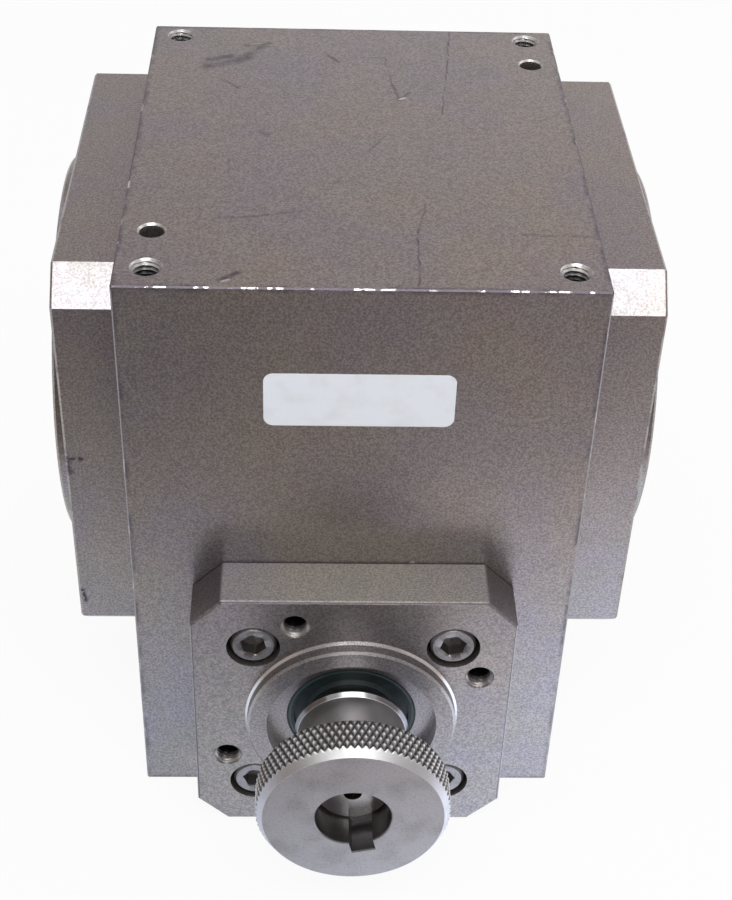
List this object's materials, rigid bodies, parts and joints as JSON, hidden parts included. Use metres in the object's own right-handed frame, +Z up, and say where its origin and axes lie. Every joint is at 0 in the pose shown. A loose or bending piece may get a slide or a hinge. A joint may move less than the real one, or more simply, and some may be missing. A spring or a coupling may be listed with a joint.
{
  "type": "servo gearhead",
  "caption": "Right-angle worm gearhead in an upright aluminium block: hollow keyed output shaft between square side covers, square input flange with a knurled hub low on the front.",
  "frame": {"origin": "middle of the hollow output shaft, on its axis, halfway between the covers", "axes": "+X along the output shaft, the input flange and hub face -Y, +Z up towards the tapped top face"},
  "size_m": [0.1272, 0.166, 0.1389],
  "materials": {
    "anodised_aluminium": "hard anodised warm grey, fine grain, bright scuffed edges",
    "screw_steel": "plain grey",
    "black_oxide_steel": "black oxide",
    "shim_steel": "rolled",
    "seal_rubber": "dark green nitrile",
    "ground_steel": "ground",
    "hub_steel": "turned, knurled rim",
    "gear_bronze": "machined",
    "bearing_steel": "ground",
    "cage_steel": "pressed"
  },
  "bodies": {
    "housing_body": {"housing": "anodised_aluminium", "oil_plugs": "black_oxide_steel", "left_output_cover": "anodised_aluminium", "right_output_cover": "anodised_aluminium", "left_cover_shim": "shim_steel", "right_cover_shim": "shim_steel", "left_cover_screws": "screw_steel", "right_cover_screws": "screw_steel", "left_output_seal": "seal_rubber", "right_output_seal": "seal_rubber", "left_output_bearing_cup": "bearing_steel", "right_output_bearing_cup": "bearing_steel", "input_flange": "anodised_aluminium", "input_flange_shim": "shim_steel", "input_flange_screws": "screw_steel", "input_seal": "seal_rubber", "rear_cap": "anodised_aluminium", "rear_cap_shim": "shim_steel", "rear_cap_screws": "screw_steel", "front_worm_bearing_cup": "bearing_steel", "rear_worm_bearing_cup": "bearing_steel"},
    "output_body": {"output_shaft": "ground_steel", "worm_gear": "gear_bronze", "gear_bolts": "black_oxide_steel", "left_output_bearing_cone": "bearing_steel", "right_output_bearing_cone": "bearing_steel"},
    "input_body": {"worm_shaft": "ground_steel", "input_hub": "hub_steel", "input_key": "hub_steel", "hub_set_screw": "black_oxide_steel", "front_worm_bearing_cone": "bearing_steel", "rear_worm_bearing_cone": "bearing_steel"},
    "left_output_bearing_roller_set": {"left_output_bearing_rollers": "bearing_steel", "left_output_bearing_cage": "cage_steel"},
    "right_output_bearing_roller_set": {"right_output_bearing_rollers": "bearing_steel", "right_output_bearing_cage": "cage_steel"},
    "front_worm_bearing_roller_set": {"front_worm_bearing_rollers": "bearing_steel", "front_worm_bearing_cage": "cage_steel"},
    "rear_worm_bearing_roller_set": {"rear_worm_bearing_rollers": "bearing_steel", "rear_worm_bearing_cage": "cage_steel"}
  },
  "joints": [
    {"name": "output_spin", "type": "hinge", "parent": "housing_body", "child": "output_body", "pos_m": [0, 0, 0], "axis": [1, 0, 0], "continuous": true},
    {"name": "input_spin", "type": "hinge", "parent": "housing_body", "child": "input_body", "pos_m": [0, 0, -0.0508], "axis": [0, 1, 0], "continuous": true},
    {"name": "left_output_bearing_roll", "type": "hinge", "parent": "housing_body", "child": "left_output_bearing_roller_set", "pos_m": [0, 0, 0], "axis": [1, 0, 0], "continuous": true},
    {"name": "right_output_bearing_roll", "type": "hinge", "parent": "housing_body", "child": "right_output_bearing_roller_set", "pos_m": [0, 0, 0], "axis": [1, 0, 0], "continuous": true},
    {"name": "front_worm_bearing_roll", "type": "hinge", "parent": "housing_body", "child": "front_worm_bearing_roller_set", "pos_m": [0, 0, -0.0508], "axis": [0, 1, 0], "continuous": true},
    {"name": "rear_worm_bearing_roll", "type": "hinge", "parent": "housing_body", "child": "rear_worm_bearing_roller_set", "pos_m": [0, 0, -0.0508], "axis": [0, 1, 0], "continuous": true}
  ],
  "couplings": [
    {"joint": "input_spin", "follows": "output_spin", "ratio": -10},
    {"joint": "left_output_bearing_roll", "follows": "output_spin", "ratio": 0.44382},
    {"joint": "right_output_bearing_roll", "follows": "output_spin", "ratio": 0.44382},
    {"joint": "front_worm_bearing_roll", "follows": "output_spin", "ratio": -4.0736},
    {"joint": "rear_worm_bearing_roll", "follows": "output_spin", "ratio": -4.0736}
  ]
}
